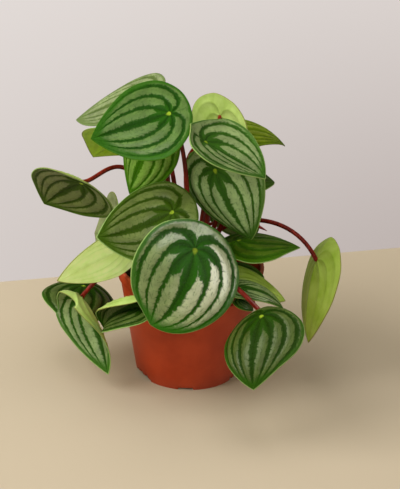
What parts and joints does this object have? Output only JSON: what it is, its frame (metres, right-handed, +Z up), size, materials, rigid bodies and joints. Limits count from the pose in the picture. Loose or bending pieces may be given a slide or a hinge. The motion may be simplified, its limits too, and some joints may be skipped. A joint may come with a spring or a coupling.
{
  "type": "potted plant",
  "caption": "Bushy houseplant with round, silver-striped leaves on dark red stalks, rooted in soil in a tapered terracotta-coloured plastic nursery pot.",
  "frame": {"origin": "centre of the pot's flat base, on the surface it stands on", "axes": "+Z up along the pot's axis, -Y towards the plant's front, +X to the right seen from the front"},
  "size_m": [0.2495, 0.2372, 0.2489],
  "materials": {
    "pot": "satin thin plastic, terracotta colour",
    "soil": "dark crumbly peat mix",
    "crown": "matte fleshy stem",
    "leaf": "satin green leaf with silver stripes",
    "pale_leaf": "satin yellow-green underside",
    "stalk": "satin dark red stalk",
    "young_shoot": "downy reddish shoot"
  },
  "bodies": {
    "root": {"pot": "pot", "soil": "soil", "crown": "crown", "leaf_01": "leaf", "leaf_02": "leaf", "leaf_03": "pale_leaf", "leaf_04": "leaf", "leaf_05": "leaf", "leaf_06": "leaf", "leaf_07": "pale_leaf", "leaf_08": "leaf", "leaf_09": "leaf", "leaf_10": "leaf", "leaf_11": "leaf", "leaf_12": "leaf", "leaf_13": "leaf", "leaf_14": "pale_leaf", "leaf_15": "leaf", "leaf_16": "leaf", "leaf_17": "leaf", "leaf_18": "leaf", "leaf_19": "leaf", "leaf_20": "pale_leaf", "leaf_21": "leaf", "leaf_22": "leaf", "leaf_23": "pale_leaf", "leaf_24": "leaf", "leaf_25": "leaf", "leaf_26": "leaf", "leaf_27": "leaf", "stalk_01": "stalk", "stalk_02": "stalk", "stalk_03": "stalk", "stalk_04": "stalk", "stalk_05": "stalk", "stalk_06": "stalk", "stalk_07": "stalk", "stalk_08": "stalk", "stalk_09": "stalk", "stalk_10": "stalk", "stalk_11": "stalk", "stalk_12": "stalk", "stalk_13": "stalk", "stalk_14": "stalk", "stalk_15": "stalk", "stalk_16": "stalk", "stalk_17": "stalk", "stalk_18": "stalk", "stalk_19": "stalk", "stalk_20": "stalk", "stalk_21": "stalk", "stalk_22": "stalk", "stalk_23": "stalk", "stalk_24": "stalk", "stalk_25": "stalk", "stalk_26": "stalk", "stalk_27": "stalk", "young_shoot": "young_shoot"}
  },
  "joints": []
}
